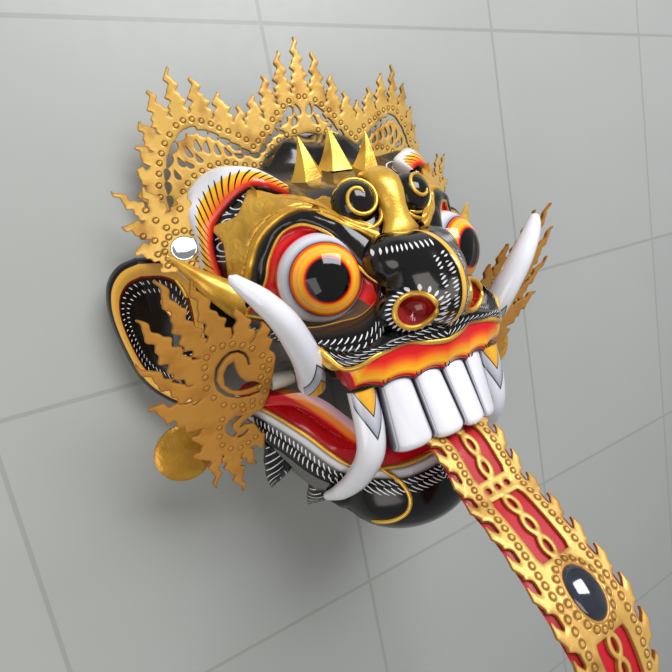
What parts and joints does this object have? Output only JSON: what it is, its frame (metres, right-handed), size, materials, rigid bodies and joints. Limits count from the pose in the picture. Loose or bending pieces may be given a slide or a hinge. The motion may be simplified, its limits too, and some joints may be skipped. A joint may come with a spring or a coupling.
{
  "type": "rangda mask",
  "caption": "Traditional carved demon mask with bulging eyes, tusks, a flame-shaped gilt leather crown, ear leaves and a long hanging tongue, made to be worn or shown.",
  "frame": {"origin": "on the flat surface the mask lies on, half way between the crown's top and the tongue's tip, on the face's middle plane", "axes": "+X to the viewer's right, +Y towards the top of the crown, +Z out of the face; the mask lies on its flat back at Z = 0"},
  "size_m": [0.392, 0.53, 0.3203],
  "materials": {
    "lacquered_wood": "black gloss lacquer over carved wood, with painted red, orange, yellow, white and gold bands",
    "white_lacquer": "gloss white lacquer over carved wood",
    "bare_wood": "bare, cut",
    "gilt_leather": "punched rawhide under satin gold paint",
    "ochre_gilt_leather": "punched rawhide under darker satin gold paint",
    "mirror_glass": "small silvered disc",
    "red_hide": "matt red painted hide",
    "dark_glass": "polished dark cabochon"
  },
  "bodies": {
    "root": {"face": "lacquered_wood", "lower_jaw": "lacquered_wood", "upper_teeth": "white_lacquer", "upper_canine_left": "white_lacquer", "lower_tusk_left": "white_lacquer", "corner_peg_left": "bare_wood", "upper_canine_right": "white_lacquer", "lower_tusk_right": "white_lacquer", "corner_peg_right": "bare_wood", "crown": "gilt_leather", "temple_leaf_left": "gilt_leather", "temple_mirror_left": "mirror_glass", "ear_left": "lacquered_wood", "ear_leaf_left": "ochre_gilt_leather", "ear_disc_left": "gilt_leather", "temple_leaf_right": "gilt_leather", "temple_mirror_right": "mirror_glass", "ear_right": "lacquered_wood", "ear_leaf_right": "ochre_gilt_leather", "ear_disc_right": "gilt_leather", "tongue": "red_hide", "tongue_fretwork": "gilt_leather", "tongue_gem": "dark_glass"}
  },
  "joints": []
}
